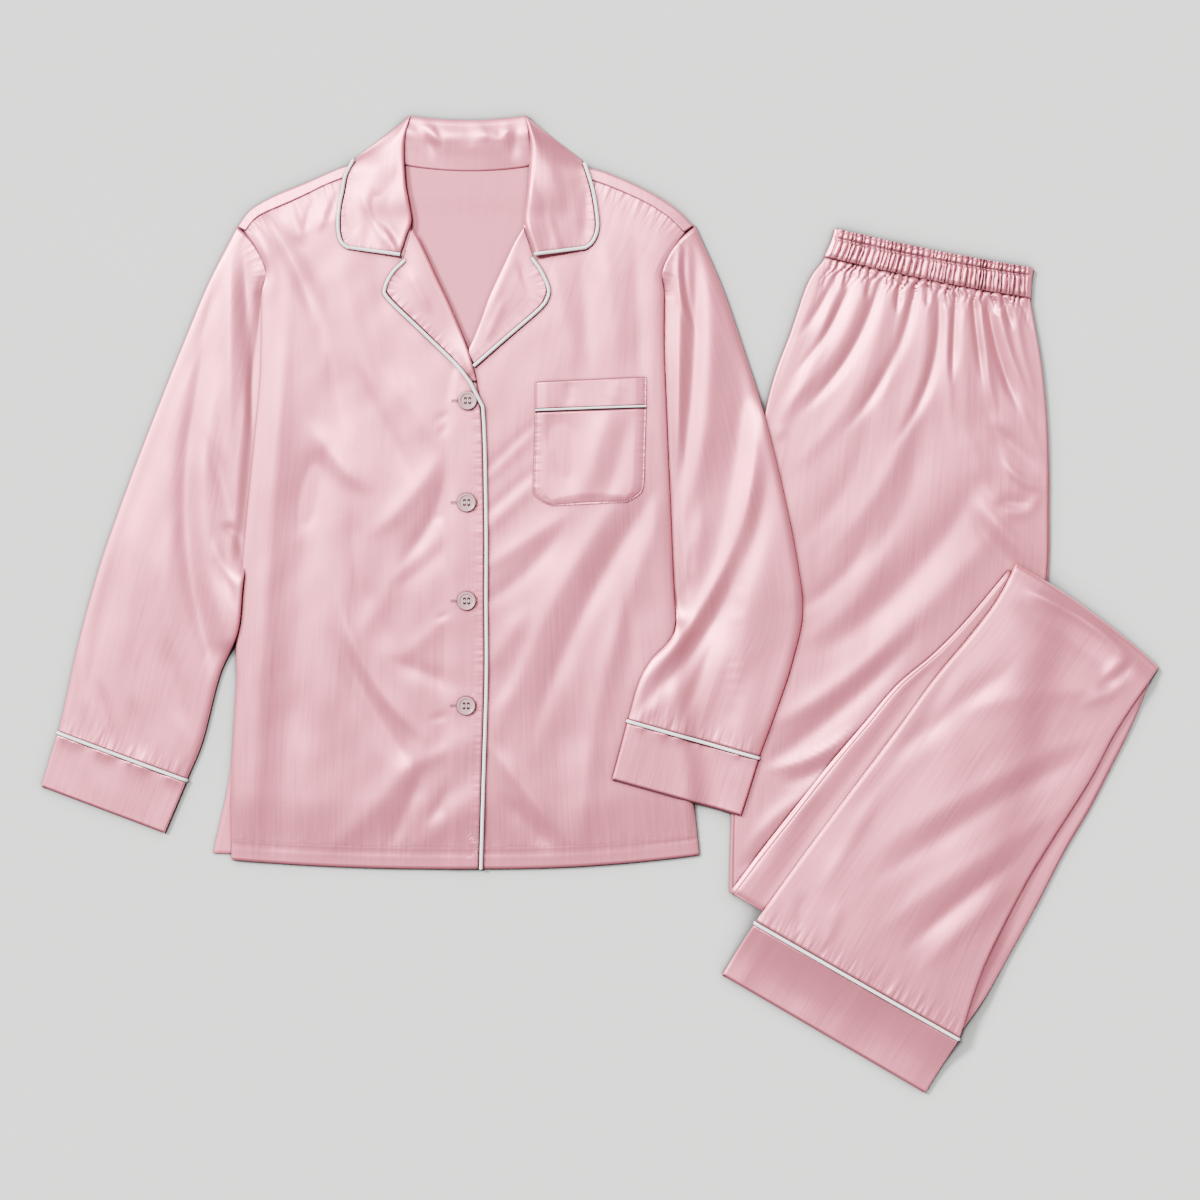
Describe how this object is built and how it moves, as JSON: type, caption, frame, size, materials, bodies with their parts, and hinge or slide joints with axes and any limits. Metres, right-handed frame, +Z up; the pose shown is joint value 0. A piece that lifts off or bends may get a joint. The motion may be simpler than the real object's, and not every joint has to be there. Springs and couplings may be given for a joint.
{
  "type": "pyjama set",
  "caption": "Piped satin pyjama shirt with notched collar, breast pocket and long sleeves, laid flat beside trousers folded lengthwise and twice across.",
  "frame": {"origin": "centre of the bounding box, on the surface that the set lies on", "axes": "+X across the shirt towards the trousers, +Y towards the collar, +Z up from the surface"},
  "size_m": [1.1164, 0.9765, 0.0201],
  "materials": {
    "satin": "dusty pink satin, soft sheen",
    "piping": "off-white satin piping cord",
    "button": "pinkish taupe, soft gloss"
  },
  "bodies": {
    "root": {"shirt_back": "satin", "front_left": "satin", "front_right": "satin", "lapel_left": "satin", "lapel_right": "satin", "collar_back": "satin", "collar_leaf_left": "satin", "collar_leaf_right": "satin", "sleeve_left": "satin", "sleeve_right": "satin", "cuff_left": "satin", "cuff_right": "satin", "pocket": "satin", "pocket_band": "satin", "waistband": "satin", "trousers_upper": "satin", "trousers_middle": "satin", "trousers_top": "satin", "leg_cuff": "satin", "piping_front_left": "piping", "piping_front_right": "piping", "piping_leaf_left": "piping", "piping_leaf_right": "piping", "piping_pocket": "piping", "piping_cuff_left": "piping", "piping_cuff_right": "piping", "piping_leg_cuff": "piping", "button_1": "button", "button_2": "button", "button_3": "button", "button_4": "button"}
  },
  "joints": []
}
